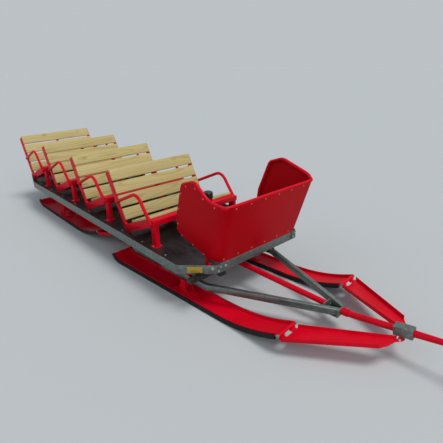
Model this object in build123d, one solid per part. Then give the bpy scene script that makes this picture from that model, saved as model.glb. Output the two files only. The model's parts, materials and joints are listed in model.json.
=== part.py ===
from build123d import *
import os
from math import cos, hypot, radians, sin, tan

# Passenger sled, in millimetres. +X points forward to the tow eye, +Y to the sled's left and +Z up.
# While it is built, X is measured from the front face of the first bench's legs and Z from the ground.
# At the end everything moves so that the origin is at the middle of the whole sled's base.

# Running clearance between curved faces and seats
FIT = 0.3

# Deck rim: a galvanised angle on edge, its foot turned inwards under the plywood
DECK_HALF_WIDTH = 516.0
DECK_FRONT = 635.0
DECK_REAR = -2600.0
CORNER_CUT = 188.0
LEFT_CORNER_CUT = 22.0
REAR_TAPER_RUN = 360.0
REAR_TAPER_DEPTH = 100.0
RIM_BASE = 255.0
RIM_HEIGHT = 65.0
RIM_WALL = 4.0
RIM_FOOT = 42.0
PLY_THICK = 12.0
PLY_GAP = 2.0
SPLICE_LENGTH = 46.0
SPLICE_HEIGHT = 52.0
SPLICE_THICK = 4.0
REFLECTOR_LENGTH = 100.0
REFLECTOR_HEIGHT = 42.0
REFLECTOR_THICK = 6.0

# Chassis under the deck
SILL_Y = 250.0
SILL_WIDTH = 50.0
SILL_HEIGHT = 50.0
SILL_REAR = -2545.0
SILL_FRONT = 610.0
CROSS_WIDTH = 40.0
CROSS_HEIGHT = 30.0
CROSS_MARGIN = 16.0
CROSS_PLACES = [-2450.0, -1800.0, -1150.0, 60.0, 560.0]

# Turntable and king pin of the steered front bogie
KING_X = 310.0
STEER_REST = 4.0
RING_RADIUS = 130.0
RING_THICK = 19.5
RING_GAP = 0.5
KING_RADIUS = 20.0
KING_PLAY = 0.08
KING_HEAD_RADIUS = 34.0
KING_HEAD_THICK = 14.0
TURN_PLATE_REACH = 150.0

# Bogie beams, the same on both bogies
BEAM_BASE = 110.0
BEAM_HEIGHT = 45.0
BEAM_WIDTH = 30.0
BEAM_Y = 365.0
BOLSTER_HEIGHT = 40.0
BOLSTER_WIDTH = 100.0
REAR_BOLSTER_X = -1800.0
SIDE_BEAM_BEHIND = 260.0
REAR_SIDE_BEAM_AHEAD = 260.0
SPREAD_START = 525.0
APEX_X = 1325.0
APEX_GAP = 12.0
APEX_PLATE_THICK = 6.0
APEX_PLATE_LENGTH = 100.0
APEX_PLATE_HALF = 52.0
APEX_WEB_HALF = 40.0

# Skis, curled up a little at the tip and more sharply at the tail, and the soles that wrap round them
SKI_WIDTH = 160.0
SKI_SHEET = 4.0
SKI_EDGE = 24.0
FRONT_SKI_LENGTH = 1700.0
REAR_SKI_LENGTH = 1485.0
SKI_CURL_START = 490.0
SKI_CURL_RADIUS = 1250.0
SKI_CURL_ANGLE = 22.0
SKI_TAIL_RADIUS = 140.0
SKI_TAIL_ANGLE = 50.0
SKI_NOSE = 13.0
SHEET_NOSE = -15.0
SOLE_NOSE = -22.0
SOLE_THICK = 10.0
SOLE_WALL = 10.0
SOLE_WALL_TOP = 19.0
FRONT_HINGE_X = 1180.0
REAR_HINGE_X = -875.0
HINGE_ABOVE_SHEET = 10.0
HINGE_PIN_RADIUS = 7.0
HINGE_PIN_HEAD = 6.0
HINGE_PIN_HEAD_RADIUS = 12.0
BARREL_RADIUS = 12.0
BARREL_SIDE_GAP = 1.0
KNUCKLE_LENGTH = 46.0

# Saddles that carry the beams on the skis
SADDLE_BASE_LENGTH = 200.0
SADDLE_BASE_THICK = 8.0
SADDLE_EAR_LENGTH = 90.0
SADDLE_EAR_THICK = 8.0
SADDLE_EAR_GAP = 56.0
SADDLE_PIVOT_RADIUS = 16.0
SADDLE_PIVOT_Z = 72.0
SADDLE_BLOCK_LENGTH = 60.0

# Tray-shaped links from the ski tips inwards to the drawbar, narrowing to a tongue
LINK_SHEET = 4.0
LINK_EDGE = 26.0
LINK_DROP = 25.0
LINK_RISE = 4.0
LINK_NECK = 24.0
LINK_OUTER_Y = 452.0
LINK_INNER_Y = 280.0
LINK_OUTER_SLANT = 32.6
LINK_INNER_SLANT = 26.6
LINK_CUT_X = 460.0
LINK_INNER_END_X = 500.0
# Nose of a link, from the end of its outer edge round to the tongue's inner side: x from the hinge, y
LINK_NOSE = [(487.0, 128.0), (503.0, 70.0), (523.0, 53.0), (537.0, 26.0), (532.0, 8.0), (514.0, 8.0)]
YOKE_X = 518.0
YOKE_LENGTH = 24.0
YOKE_HALF_WIDTH = 40.0
YOKE_THICK = 6.0

# Drawbar
BAR_RADIUS = 20.0
BAR_Z = 132.5
BAR_RISE = 8.0
BAR_START_X = 1334.0
BAR_COLLAR_RADIUS = 25.0
BAR_COLLAR_LENGTH = 42.0
BAR_BEND_X = 1400.0
BAR_BEND_RADIUS = 260.0
BAR_TAPER_START = 1765.0
BAR_TAPER_END = 1975.0
BAR_END_RADIUS = 15.0
SLEEVE_START = 1648.0
SLEEVE_LENGTH = 104.0
SLEEVE_SIZE = 56.0
EYE_CENTRE = 2045.0
EYE_RADIUS = 32.0
EYE_BORE_RADIUS = 13.0
EYE_THICK = 24.0
EYE_NECK_RADIUS = 11.0
STRUT_REAR_Z = 172.0
STRUT_FRONT_Z = 135.0

# Front shield: a rolled sheet, upright on the front rim, from the left rail to the cut corner
SHIELD_SHEET = 3.0
SHIELD_RIGHT_INSET = 7.0
SHIELD_FLARE = 37.0
SHIELD_FOOT_X = 635.0
SHIELD_LEAN = 15.5
SHIELD_RIGHT_BEND = 110.0
SHIELD_LEFT_BEND = 70.0
SHIELD_TOP_BEND = 60.0
SHIELD_TOP_Z = 880.0
SHIELD_REAR_X = 180.0
SHIELD_FRONT_TOP_Z = 748.0
SHIELD_BRACKET_X = 520.0
SHIELD_BRACKET_WIDTH = 24.0
SHIELD_BRACKET_FOOT = 40.0
SHIELD_BRACKET_THICK = 4.0
SHIELD_BRACKET_RISE = 24.0
# Side outline of a wing, from the foot round the back to the top: name, x, z, corner radius
WING_OUTLINE = [
    ("foot", 600.0, 320.0, 0.0),
    ("lower sweep", 210.0, 434.0, 60.0),
    ("back", 220.0, 560.0, 160.0),
    ("upper back", 316.0, 814.0, 50.0),
    ("peak", 459.0, 866.0, 60.0),
    ("front dip", 588.0, 752.0, 250.0),
]

# Benches: four alike, one frame and two sets of boards each
BENCH_COUNT = 4
BENCH_SPACING = 720.0
BENCH_MARGIN = 98.0
BENCH_RAIL_TOP = 485.0
BENCH_RAIL_HEIGHT = 40.0
BENCH_RAIL_WIDTH = 60.0
BENCH_LEG_WIDTH = 60.0
BENCH_LEG_THICK = 30.0
BENCH_LEG_INSET = 10.0
BENCH_FOOT_PLATE = 6.0
BENCH_FOOT_SIZE = 70.0
SEAT_TILT = 22.0
SEAT_RAIL_HEIGHT = 62.0
SEAT_RAIL_THICK = 20.0
SEAT_RUN = 410.0
SEAT_BOARD_COUNT = 3
SEAT_BOARD_WIDTH = 92.0
SEAT_BOARD_GAP = 12.0
REAR_CROSS_RUN = 300.0
REAR_CROSS_SIZE = 36.0
BACK_TILT = 27.8
BACK_TOP_X = -567.0
BACK_TOP_Z = 752.0
BACK_BOARD_COUNT = 4
BACK_BOARD_WIDTH = 95.0
BACK_BOARD_GAP = 16.0
BOARD_THICK = 20.0
BOARD_INSET = 10.0
UPRIGHT_DEPTH = 40.0
UPRIGHT_THICK = 20.0
UPRIGHT_DROP = 12.0
ARM_RADIUS = 13.0
ARM_SINK = 8.0
ARM_BEND = 95.0
ARM_BACK_DROP = 262.0
ARM_SLOPE = 24.0
ARM_LEAN = 38.0

# Capped post behind the shield's right wing
POST_X = 441.0
POST_Y = -220.0
POST_RADIUS = 30.0
POST_TOP = 716.0
CAP_RADIUS = 33.0
CAP_HEIGHT = 42.0

# Sizes that follow from those above
RIM_TOP = RIM_BASE + RIM_HEIGHT
FLOOR_TOP = RIM_BASE + RIM_WALL + PLY_THICK
SILL_BASE = RIM_BASE - SILL_HEIGHT
BEAM_TOP = BEAM_BASE + BEAM_HEIGHT
BOLSTER_TOP = BEAM_TOP + BOLSTER_HEIGHT
BENCH_HALF = DECK_HALF_WIDTH - BENCH_MARGIN
BOARD_HALF = BENCH_HALF - BOARD_INSET
SHIELD_RIGHT = CORNER_CUT - DECK_HALF_WIDTH + SHIELD_RIGHT_INSET
SHIELD_LEFT = DECK_HALF_WIDTH - RIM_WALL
SKI_Y = BEAM_Y
ANCHOR_X = REAR_HINGE_X + YOKE_X


def block(x_low, x_high, y_low, y_high, z_low, z_high):
    """A box between two corners."""
    size = Box(x_high - x_low, y_high - y_low, z_high - z_low)
    centre = ((x_low + x_high) / 2, (y_low + y_high) / 2, (z_low + z_high) / 2)
    return Pos(*centre) * size


def side_plate(outline, y_low, y_high):
    """A plate cut to an outline of (x, z) corners and standing between two Y values."""
    wire = Polyline([(x, y_low, z) for x, z in outline], close=True)
    return extrude(make_face(wire), amount=y_high - y_low, dir=(0, 1, 0))


def plan_plate(outline, z_low, z_high):
    """A plate cut to an outline of (x, y) corners and lying between two heights."""
    wire = Polyline([(x, y, z_low) for x, y in outline], close=True)
    return extrude(make_face(wire), amount=z_high - z_low, dir=(0, 0, 1))


def rod(start, end, radius):
    """A round bar from one point to another."""
    along = Vector(*end) - Vector(*start)
    return Plane(origin=start, z_dir=along) * Cylinder(
        radius, along.length, align=(Align.CENTER, Align.CENTER, Align.MIN)
    )


def joined(pieces):
    """Pieces that are welded into one solid."""
    whole = pieces[0]
    for piece in pieces[1:]:
        whole = whole + piece
    return whole


def together(pieces):
    """Separate like pieces that share a node."""
    return Compound(children=[solid for piece in pieces for solid in piece.solids()])


def steered(piece):
    """Turn a piece of the front bogie to the angle at which it stands."""
    axis = Axis((KING_X, 0, 0), (0, 0, 1))
    return piece.rotate(axis, STEER_REST)


def deck_outline(inset):
    """The deck in plan, inset by a width: a cut corner at the front right and a tapered rear."""
    half = DECK_HALF_WIDTH
    corners = [
        (DECK_FRONT, half - LEFT_CORNER_CUT),
        (DECK_FRONT - LEFT_CORNER_CUT, half),
        (DECK_REAR + REAR_TAPER_RUN, half),
        (DECK_REAR, half - REAR_TAPER_DEPTH),
        (DECK_REAR, REAR_TAPER_DEPTH - half),
        (DECK_REAR + REAR_TAPER_RUN, -half),
        (DECK_FRONT - CORNER_CUT, -half),
        (DECK_FRONT, CORNER_CUT - half),
    ]
    face = make_face(Polyline([(x, y, 0) for x, y in corners], close=True))
    if inset == 0:
        return face
    return offset(face, amount=-inset, kind=Kind.INTERSECTION)


def rim_part(x_low, x_high, y_low, y_high):
    """The stretch of the rim inside a plan box: an upright wall with its foot turned in."""
    outer = deck_outline(0)
    wall = extrude(outer - deck_outline(RIM_WALL), amount=RIM_HEIGHT)
    foot = extrude(outer - deck_outline(RIM_FOOT), amount=RIM_WALL)
    rim = Pos(0, 0, RIM_BASE) * (wall + foot)
    return rim & block(x_low, x_high, y_low, y_high, RIM_BASE, RIM_TOP)


def front_beam():
    """The straight front of the rim, up to the left rail."""
    y_low = CORNER_CUT - DECK_HALF_WIDTH
    y_high = DECK_HALF_WIDTH - RIM_FOOT
    return rim_part(DECK_FRONT - CORNER_CUT, DECK_FRONT, y_low, y_high)


def corner_beam():
    """The rim across the cut front right corner."""
    half = DECK_HALF_WIDTH
    return rim_part(DECK_FRONT - CORNER_CUT, DECK_FRONT, -half, CORNER_CUT - half)


def left_rail():
    """The left side of the rim, out to the square front corner."""
    half = DECK_HALF_WIDTH
    return rim_part(DECK_REAR + REAR_TAPER_RUN, DECK_FRONT, half - RIM_FOOT, half)


def right_rail():
    """The right side of the rim, back from the cut corner."""
    half = DECK_HALF_WIDTH
    return rim_part(DECK_REAR + REAR_TAPER_RUN, DECK_FRONT - CORNER_CUT, -half, CORNER_CUT - half)


def rear_beam():
    """The straight rear of the rim."""
    half = DECK_HALF_WIDTH - REAR_TAPER_DEPTH
    return rim_part(DECK_REAR, DECK_REAR + RIM_FOOT, -half, half)


def taper_beams():
    """The two slanting stretches of the rim at the rear."""
    half = DECK_HALF_WIDTH
    x_low = DECK_REAR + RIM_FOOT
    x_high = DECK_REAR + REAR_TAPER_RUN
    return together(
        [
            rim_part(x_low, x_high, -half, 0),
            rim_part(x_low, x_high, 0, half),
        ]
    )


def deck_floor():
    """Plywood that lies on the rim's foot, with a gap all round."""
    sheet = extrude(deck_outline(RIM_WALL + PLY_GAP), amount=PLY_THICK)
    return Pos(0, 0, RIM_BASE + RIM_WALL) * sheet


def on_corner_cut(share, length, height, thick, lift):
    """A plate lying on the outer face of the cut front right corner."""
    start = Vector(DECK_FRONT - CORNER_CUT, -DECK_HALF_WIDTH, 0)
    along = Vector(CORNER_CUT, CORNER_CUT, 0)
    outward = Vector(1, -1, 0).normalized()
    middle = start + along * share + outward * (thick / 2)
    plate = Box(length, thick, height)
    return Pos(middle.X, middle.Y, RIM_BASE + lift) * Rot(0, 0, 45) * plate


def splice_plates():
    """Bolted plates over the rim's joints at both ends of the straight front."""
    low = RIM_BASE + (RIM_HEIGHT - SPLICE_HEIGHT) / 2
    high = low + SPLICE_HEIGHT
    front = DECK_FRONT
    right = CORNER_CUT - DECK_HALF_WIDTH
    left = DECK_HALF_WIDTH - LEFT_CORNER_CUT
    right_plate = block(front, front + SPLICE_THICK, right, right + SPLICE_LENGTH, low, high)
    left_plate = block(front, front + SPLICE_THICK, left - SPLICE_LENGTH, left, low, high)
    return together([right_plate, left_plate])


def reflector():
    """Yellow reflector on the cut corner."""
    return on_corner_cut(0.46, REFLECTOR_LENGTH, REFLECTOR_HEIGHT, REFLECTOR_THICK, RIM_HEIGHT / 2)


def sill(side):
    """One of the two square tubes that run the length of the deck."""
    low = side * SILL_Y - SILL_WIDTH / 2
    return block(SILL_REAR, SILL_FRONT, low, low + SILL_WIDTH, SILL_BASE, RIM_BASE)


def cross_tubes():
    """Cross tubes under the plywood, in three lengths between and outside the sills."""
    inner = SILL_Y - SILL_WIDTH / 2
    outer = SILL_Y + SILL_WIDTH / 2
    base = RIM_BASE - CROSS_HEIGHT
    pieces = []
    for place in [*CROSS_PLACES, ANCHOR_X]:
        low = place - CROSS_WIDTH / 2
        high = low + CROSS_WIDTH
        reach = DECK_HALF_WIDTH - CROSS_MARGIN
        if place < DECK_REAR + REAR_TAPER_RUN:
            reach = reach - REAR_TAPER_DEPTH
        pieces.append(block(low, high, -inner, inner, base, RIM_BASE))
        for side in (-1, 1):
            start = min(side * outer, side * reach)
            pieces.append(block(low, high, start, start + reach - outer, base, RIM_BASE))
    return together(pieces)


def turntable_plate():
    """Plate between the sills that the upper ring hangs from."""
    inner = SILL_Y - SILL_WIDTH / 2
    base = BOLSTER_TOP + RING_THICK * 2 + RING_GAP
    low = KING_X - TURN_PLATE_REACH
    return block(low, KING_X + TURN_PLATE_REACH, -inner, inner, base, RIM_BASE)


def turntable_upper():
    """Upper ring and king pin, fixed under the chassis, with the pin's head under the bolster."""
    ring_base = BOLSTER_TOP + RING_THICK + RING_GAP
    ring = Pos(KING_X, 0, ring_base + RING_THICK / 2) * Cylinder(RING_RADIUS, RING_THICK)
    pin_base = BEAM_TOP - FIT
    pin_length = ring_base - pin_base
    pin = Pos(KING_X, 0, pin_base + pin_length / 2) * Cylinder(KING_RADIUS, pin_length)
    head_base = pin_base - KING_HEAD_THICK
    head = Pos(KING_X, 0, head_base + KING_HEAD_THICK / 2) * Cylinder(KING_HEAD_RADIUS, KING_HEAD_THICK)
    return ring + pin + head


def turntable_lower():
    """Lower ring on the bolster, bored for the king pin."""
    ring = Cylinder(RING_RADIUS, RING_THICK) - Cylinder(KING_RADIUS + KING_PLAY, RING_THICK)
    return Pos(KING_X, 0, BOLSTER_TOP + RING_THICK / 2) * ring


def bolster(x):
    """The cross beam of a bogie, across the two side beams."""
    half = BOLSTER_WIDTH / 2
    reach = BEAM_Y + BEAM_WIDTH / 2
    return block(x - half, x + half, -reach, reach, BEAM_TOP, BOLSTER_TOP)


def front_bolster():
    """Front cross beam with the king pin's bore and the plate that the strut is welded to."""
    half = BOLSTER_WIDTH / 2
    socket_half = BAR_RADIUS + SADDLE_EAR_THICK
    socket = block(
        KING_X + half,
        KING_X + half + SADDLE_EAR_THICK,
        -socket_half,
        socket_half,
        STRUT_REAR_Z - socket_half,
        BOLSTER_TOP,
    )
    bore = Pos(KING_X, 0, BEAM_TOP + BOLSTER_HEIGHT / 2) * Cylinder(KING_RADIUS + KING_PLAY, BOLSTER_HEIGHT)
    return bolster(KING_X) + socket - bore


def rear_bolster():
    """Rear cross beam with the two blocks that bolt it under the sills."""
    whole = bolster(REAR_BOLSTER_X)
    half = BOLSTER_WIDTH / 2
    for side in (-1, 1):
        low = side * SILL_Y - SILL_WIDTH / 2
        whole = whole + block(
            REAR_BOLSTER_X - half,
            REAR_BOLSTER_X + half,
            low,
            low + SILL_WIDTH,
            BOLSTER_TOP,
            SILL_BASE,
        )
    return whole


def a_frame_slant():
    """How far an A-frame beam comes inwards for each millimetre forwards."""
    return (BEAM_Y - APEX_GAP - BEAM_WIDTH / 2) / (APEX_X - SPREAD_START)


def a_frame(side):
    """One beam of the A-frame: straight over its ski, then slanting in to the apex."""
    inner = BEAM_Y - BEAM_WIDTH / 2
    outer = BEAM_Y + BEAM_WIDTH / 2
    rear = KING_X - SIDE_BEAM_BEHIND
    slant = a_frame_slant()
    wide = hypot(1, slant)
    shift = BEAM_WIDTH * (wide - 1) / slant / 2
    middle = APEX_GAP + BEAM_WIDTH / 2
    corners = [
        (rear, inner),
        (rear, outer),
        (SPREAD_START + shift, outer),
        (APEX_X, middle + BEAM_WIDTH * wide / 2),
        (APEX_X, middle - BEAM_WIDTH * wide / 2),
        (SPREAD_START - shift, inner),
    ]
    return plan_plate([(x, side * y) for x, y in corners], BEAM_BASE, BEAM_TOP)


def rear_side_beam(side):
    """Beam over a rear ski."""
    low = side * BEAM_Y - BEAM_WIDTH / 2
    return block(
        REAR_BOLSTER_X - SIDE_BEAM_BEHIND,
        REAR_BOLSTER_X + REAR_SIDE_BEAM_AHEAD,
        low,
        low + BEAM_WIDTH,
        BEAM_BASE,
        BEAM_TOP,
    )


def apex_plates():
    """Gusset under the A-frame's apex, with a web for the strut's end and an end plate for the drawbar."""
    low = APEX_X - APEX_PLATE_LENGTH
    face = BAR_START_X - FIT
    base = BEAM_BASE - FIT
    gusset = block(low, face, -APEX_PLATE_HALF, APEX_PLATE_HALF, base - APEX_PLATE_THICK, base)
    web = block(low, low + APEX_PLATE_THICK, -APEX_WEB_HALF, APEX_WEB_HALF, base, BEAM_TOP)
    end = block(APEX_X + FIT, face, -APEX_PLATE_HALF, APEX_PLATE_HALF, base, BEAM_TOP)
    return joined([gusset, web, end])


def ski_side(hinge_x, length, depth, run):
    """Points along a ski's side view at a depth above its lower face, from the tail to the tip.

    Depth is square to the sheet, and run is how far the tip goes on past the hinge."""
    tail_angle = radians(SKI_TAIL_ANGLE)
    tail_x = hinge_x - length + SKI_TAIL_RADIUS * sin(tail_angle)
    curl_angle = radians(SKI_CURL_ANGLE)
    curl_x = hinge_x - SKI_CURL_START

    def on_tail(angle):
        radius = SKI_TAIL_RADIUS - depth
        return (tail_x - radius * sin(angle), SKI_TAIL_RADIUS - radius * cos(angle))

    def on_curl(angle):
        radius = SKI_CURL_RADIUS - depth
        return (curl_x + radius * sin(angle), SKI_CURL_RADIUS - radius * cos(angle))

    end_x, end_z = on_curl(curl_angle)
    straight = (SKI_CURL_START - SKI_CURL_RADIUS * sin(curl_angle)) / cos(curl_angle) + run
    return [
        on_tail(tail_angle),
        on_tail(tail_angle / 2),
        (tail_x, depth),
        (curl_x, depth),
        on_curl(curl_angle / 2),
        (end_x, end_z),
        (end_x + straight * cos(curl_angle), end_z + straight * sin(curl_angle)),
    ]


def ski_band(hinge_x, length, depth_low, depth_high, y_low, y_high, run):
    """A strip along the ski's side view, between two depths and two Y values."""
    edges = []
    ends = []
    for depth in (depth_low, depth_high):
        points = [(x, y_low, SOLE_THICK + z) for x, z in ski_side(hinge_x, length, depth, run)]
        tail, tail_middle, tail_start, curl_start, curl_middle, curl_end, tip = points
        edges.append(ThreePointArc(tail, tail_middle, tail_start))
        edges.append(Line(tail_start, curl_start))
        edges.append(ThreePointArc(curl_start, curl_middle, curl_end))
        edges.append(Line(curl_end, tip))
        ends.append((tail, tip))
    edges.append(Line(ends[0][0], ends[1][0]))
    edges.append(Line(ends[0][1], ends[1][1]))
    face = make_face(Wire(edges))
    return extrude(face, amount=y_high - y_low, dir=(0, 1, 0))


def hinge_z():
    """Height of the hinge pin at a ski's tip."""
    angle = radians(SKI_CURL_ANGLE)
    full = SKI_CURL_RADIUS * sin(angle)
    rise = SKI_CURL_RADIUS * (1 - cos(angle)) + (SKI_CURL_START - full) * tan(angle)
    return SOLE_THICK + rise + HINGE_ABOVE_SHEET


def ski(hinge_x, side, length):
    """A shallow sheet channel with raised edges, curled up at both ends and bored for the hinge pin."""
    middle = side * SKI_Y
    low = middle - SKI_WIDTH / 2
    high = middle + SKI_WIDTH / 2
    pieces = [
        ski_band(hinge_x, length, 0, SKI_SHEET, low, high, SHEET_NOSE),
        ski_band(hinge_x, length, 0, SKI_EDGE, low, low + SKI_SHEET, SKI_NOSE),
        ski_band(hinge_x, length, 0, SKI_EDGE, high - SKI_SHEET, high, SKI_NOSE),
    ]
    bore = rod((hinge_x, low, hinge_z()), (hinge_x, high, hinge_z()), HINGE_PIN_RADIUS + FIT)
    return joined(pieces) - bore


def sole(hinge_x, side, length):
    """Black plastic runner under a ski, with walls turned up outside the ski's edges."""
    middle = side * SKI_Y
    inside = SKI_WIDTH / 2 + FIT
    outside = inside + SOLE_WALL
    return joined(
        [
            ski_band(hinge_x, length, -SOLE_THICK, -FIT, middle - outside, middle + outside, SOLE_NOSE),
            ski_band(hinge_x, length, -SOLE_THICK, SOLE_WALL_TOP, middle - outside, middle - inside, SOLE_NOSE),
            ski_band(hinge_x, length, -SOLE_THICK, SOLE_WALL_TOP, middle + inside, middle + outside, SOLE_NOSE),
        ]
    )


def saddle(x, side):
    """Bracket on a ski: a base plate, two ears, a pivot between them and the beam's foot block."""
    middle = side * SKI_Y
    base_z = SOLE_THICK + SKI_SHEET
    ear_base = base_z + SADDLE_BASE_THICK
    outer = SADDLE_EAR_GAP / 2 + SADDLE_EAR_THICK
    base = block(
        x - SADDLE_BASE_LENGTH / 2,
        x + SADDLE_BASE_LENGTH / 2,
        middle - outer,
        middle + outer,
        base_z,
        ear_base,
    )
    pieces = [base]
    half = SADDLE_EAR_LENGTH / 2
    ear = [
        (x - half, ear_base),
        (x + half, ear_base),
        (x + SADDLE_PIVOT_RADIUS, SADDLE_PIVOT_Z + SADDLE_PIVOT_RADIUS),
        (x - SADDLE_PIVOT_RADIUS, SADDLE_PIVOT_Z + SADDLE_PIVOT_RADIUS),
    ]
    for edge in (-1, 1):
        start = middle + edge * SADDLE_EAR_GAP / 2
        low = min(start, start + edge * SADDLE_EAR_THICK)
        pieces.append(side_plate(ear, low, low + SADDLE_EAR_THICK))
    pieces.append(rod((x, middle - outer, SADDLE_PIVOT_Z), (x, middle + outer, SADDLE_PIVOT_Z), SADDLE_PIVOT_RADIUS / 2))
    return joined(pieces)


def saddle_block(x, side):
    """The foot block under a beam, on the saddle's pivot."""
    middle = side * SKI_Y
    half_gap = SADDLE_EAR_GAP / 2 - FIT
    half = SADDLE_BLOCK_LENGTH / 2
    outline = [
        (x - half, BEAM_BASE),
        (x + half, BEAM_BASE),
        (x + SADDLE_PIVOT_RADIUS, SADDLE_PIVOT_Z - SADDLE_PIVOT_RADIUS),
        (x - SADDLE_PIVOT_RADIUS, SADDLE_PIVOT_Z - SADDLE_PIVOT_RADIUS),
    ]
    whole = side_plate(outline, middle - half_gap, middle + half_gap)
    bore = rod((x, middle - half_gap, SADDLE_PIVOT_Z), (x, middle + half_gap, SADDLE_PIVOT_Z), SADDLE_PIVOT_RADIUS / 2 + FIT)
    return whole - bore


def hinge_pin(hinge_x, side):
    """Pin through a ski's tip, with a head on each side."""
    middle = side * SKI_Y
    reach = SKI_WIDTH / 2 + FIT
    z = hinge_z()
    pin = rod((hinge_x, middle - reach, z), (hinge_x, middle + reach, z), HINGE_PIN_RADIUS)
    for edge in (-1, 1):
        start = (hinge_x, middle + edge * reach, z)
        end = (hinge_x, middle + edge * (reach + HINGE_PIN_HEAD), z)
        pin = pin + rod(start, end, HINGE_PIN_HEAD_RADIUS)
    return pin


def link(hinge_x, side):
    """Tray from a ski's tip, slanting in and up to the middle, on two knuckles round the hinge pin."""
    pin_z = hinge_z()
    base = pin_z - LINK_DROP
    top = base + LINK_SHEET
    outer_slope = tan(radians(LINK_OUTER_SLANT))
    inner_slope = tan(radians(LINK_INNER_SLANT))

    def outer_y(x):
        return LINK_OUTER_Y - outer_slope * (x - LINK_NECK)

    def inner_y(x):
        return LINK_INNER_Y - inner_slope * (x - LINK_NECK)

    outline = [
        (LINK_NECK, LINK_OUTER_Y),
        (LINK_CUT_X, outer_y(LINK_CUT_X)),
        *LINK_NOSE,
        (LINK_INNER_END_X, inner_y(LINK_INNER_END_X)),
        (LINK_NECK, LINK_INNER_Y),
    ]
    pieces = [plan_plate([(hinge_x + x, side * y) for x, y in outline], base, top)]
    outer_wide = LINK_SHEET * hypot(1, outer_slope)
    inner_wide = LINK_SHEET * hypot(1, inner_slope)
    for edge_y, across, end_x in ((outer_y, -outer_wide, LINK_CUT_X), (inner_y, inner_wide, LINK_INNER_END_X)):
        strip = [
            (LINK_NECK, edge_y(LINK_NECK)),
            (end_x, edge_y(end_x)),
            (end_x, edge_y(end_x) + across),
            (LINK_NECK, edge_y(LINK_NECK) + across),
        ]
        pieces.append(plan_plate([(hinge_x + x, side * y) for x, y in strip], base, base + LINK_EDGE))
    reach = SKI_WIDTH / 2 - SKI_SHEET - BARREL_SIDE_GAP
    for edge in (-1, 1):
        start = side * SKI_Y + edge * reach
        low = min(start, start - edge * KNUCKLE_LENGTH)
        high = low + KNUCKLE_LENGTH
        pieces.append(block(hinge_x, hinge_x + LINK_NECK, low, high, base, top))
        pieces.append(block(hinge_x, hinge_x + BARREL_RADIUS, low, high, base, pin_z))
        pieces.append(rod((hinge_x, low, pin_z), (hinge_x, high, pin_z), BARREL_RADIUS))
    bore = rod(
        (hinge_x, side * SKI_Y - reach, pin_z),
        (hinge_x, side * SKI_Y + reach, pin_z),
        HINGE_PIN_RADIUS + FIT,
    )
    whole = joined(pieces) - bore
    return whole.rotate(Axis((hinge_x, 0, pin_z), (0, 1, 0)), -LINK_RISE)


def tongue_top(x, hinge_x):
    """Height of a link's sheet, on its upper face, at a place along the sled."""
    angle = radians(LINK_RISE)
    return hinge_z() + (x - hinge_x) * tan(angle) - (LINK_DROP - LINK_SHEET) / cos(angle)


def front_yoke():
    """Block that joins both links' tongues to the underside of the sleeve."""
    low = FRONT_HINGE_X + YOKE_X - YOKE_LENGTH / 2
    high = low + YOKE_LENGTH
    drop = SLEEVE_SIZE / 2 / cos(radians(BAR_RISE)) + FIT
    outline = [
        (low, tongue_top(low, FRONT_HINGE_X) + FIT),
        (high, tongue_top(high, FRONT_HINGE_X) + FIT),
        (high, bar_axis(high) - drop),
        (low, bar_axis(low) - drop),
    ]
    return side_plate(outline, -YOKE_HALF_WIDTH, YOKE_HALF_WIDTH)


def rear_yoke():
    """Plate across the tongues of the rear links."""
    low = ANCHOR_X - CROSS_WIDTH / 2
    high = ANCHOR_X + CROSS_WIDTH / 2
    outline = [
        (low, tongue_top(low, REAR_HINGE_X) + FIT),
        (high, tongue_top(high, REAR_HINGE_X) + FIT),
        (high, tongue_top(high, REAR_HINGE_X) + FIT + YOKE_THICK),
        (low, tongue_top(low, REAR_HINGE_X) + FIT + YOKE_THICK),
    ]
    return side_plate(outline, -YOKE_HALF_WIDTH, YOKE_HALF_WIDTH)


def rear_anchor():
    """Post from the chassis down to the rear yoke, its foot cut to the yoke's slope."""
    half = CROSS_WIDTH / 2
    top = RIM_BASE - CROSS_HEIGHT
    low = ANCHOR_X - half
    high = ANCHOR_X + half
    lift = YOKE_THICK + FIT * 2
    outline = [
        (low, tongue_top(low, REAR_HINGE_X) + lift),
        (high, tongue_top(high, REAR_HINGE_X) + lift),
        (high, top),
        (low, top),
    ]
    return side_plate(outline, -half, half)


def bar_axis(x):
    """Height of the drawbar's rising front part at a place along it."""
    return BAR_Z + (x - BAR_BEND_X) * tan(radians(BAR_RISE))


def on_bar(x):
    """Plane square to the rising part of the drawbar."""
    angle = radians(BAR_RISE)
    return Plane(origin=(x, 0, bar_axis(x)), x_dir=(0, 1, 0), z_dir=(cos(angle), 0, sin(angle)))


def drawbar_strut():
    """Round tube from the front cross beam down to the web at the A-frame's apex."""
    rear = KING_X + BOLSTER_WIDTH / 2 + SADDLE_EAR_THICK
    front = APEX_X - APEX_PLATE_LENGTH
    drop = (STRUT_REAR_Z - STRUT_FRONT_Z) / (front - rear)
    overrun = BAR_RADIUS * 2
    tube = rod(
        (rear - overrun, 0, STRUT_REAR_Z + drop * overrun),
        (front + overrun, 0, STRUT_FRONT_Z - drop * overrun),
        BAR_RADIUS,
    )
    reach = BAR_RADIUS * 2
    return tube & block(rear, front, -reach, reach, BEAM_BASE - reach, BOLSTER_TOP + reach)


def drawbar():
    """Round tube from a collar at the apex, bending up and tapering to the eye."""
    start = (BAR_START_X, 0, BAR_Z)
    end = (BAR_TAPER_START, 0, bar_axis(BAR_TAPER_START))
    path = FilletPolyline(start, (BAR_BEND_X, 0, BAR_Z), end, radius=BAR_BEND_RADIUS)
    tube = sweep(Plane(origin=start, z_dir=(1, 0, 0)) * Circle(BAR_RADIUS), path=path)
    collar = rod(start, (BAR_START_X + BAR_COLLAR_LENGTH, 0, BAR_Z), BAR_COLLAR_RADIUS)
    taper = loft([on_bar(BAR_TAPER_START) * Circle(BAR_RADIUS), on_bar(BAR_TAPER_END) * Circle(BAR_END_RADIUS)])
    return tube + collar + taper


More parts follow.
